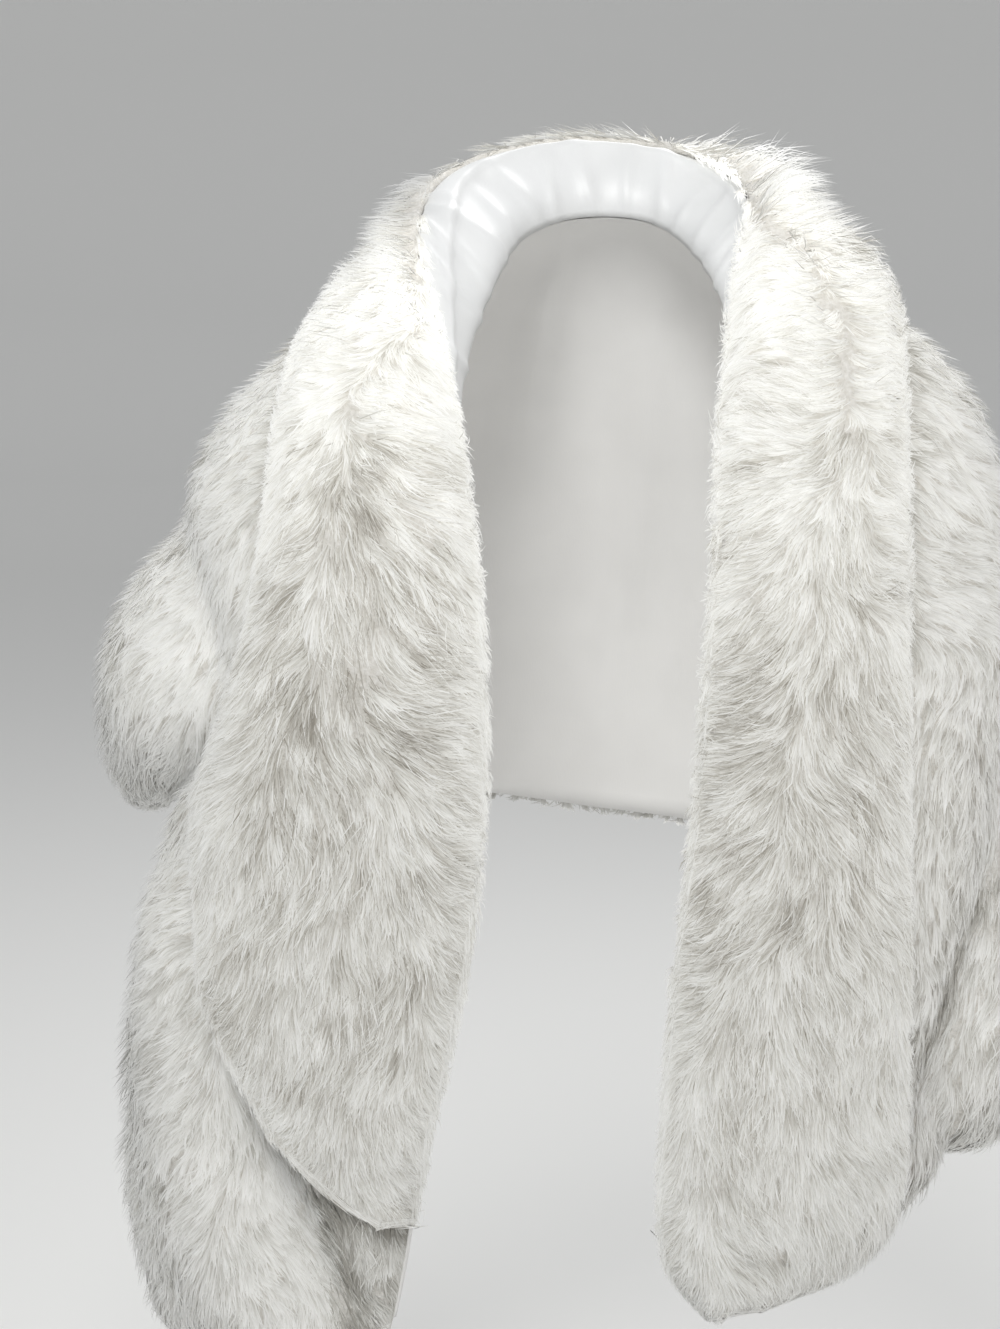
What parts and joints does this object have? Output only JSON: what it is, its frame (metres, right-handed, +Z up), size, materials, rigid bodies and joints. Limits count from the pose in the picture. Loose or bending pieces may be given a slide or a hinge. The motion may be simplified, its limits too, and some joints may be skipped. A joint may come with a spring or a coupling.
{
  "type": "fur collar wrap",
  "caption": "Open wrap of long-pile ivory fur with a wide fur shawl collar, long front tabs, a short back and a white satin lining, kept in its worn shape.",
  "frame": {"origin": "middle of the wearer's neck base, on which the wrap hangs", "axes": "+Z up, -Y the way the wearer faces, +X the wearer's left"},
  "size_m": [0.7276, 0.4056, 0.8633],
  "materials": {
    "ivory_fur": "long dense ivory pile, matt with a soft sheen",
    "ivory_collar_fur": "longer tousled ivory pile in locks",
    "white_satin": "smooth white satin with a soft gloss"
  },
  "bodies": {
    "root": {"fur_back": "ivory_fur", "fur_front_right": "ivory_fur", "fur_front_left": "ivory_fur", "collar_back": "ivory_collar_fur", "collar_right": "ivory_collar_fur", "collar_left": "ivory_collar_fur", "collar_facing": "white_satin", "lining_back": "white_satin", "lining_front_right": "white_satin", "lining_front_left": "white_satin"}
  },
  "joints": []
}
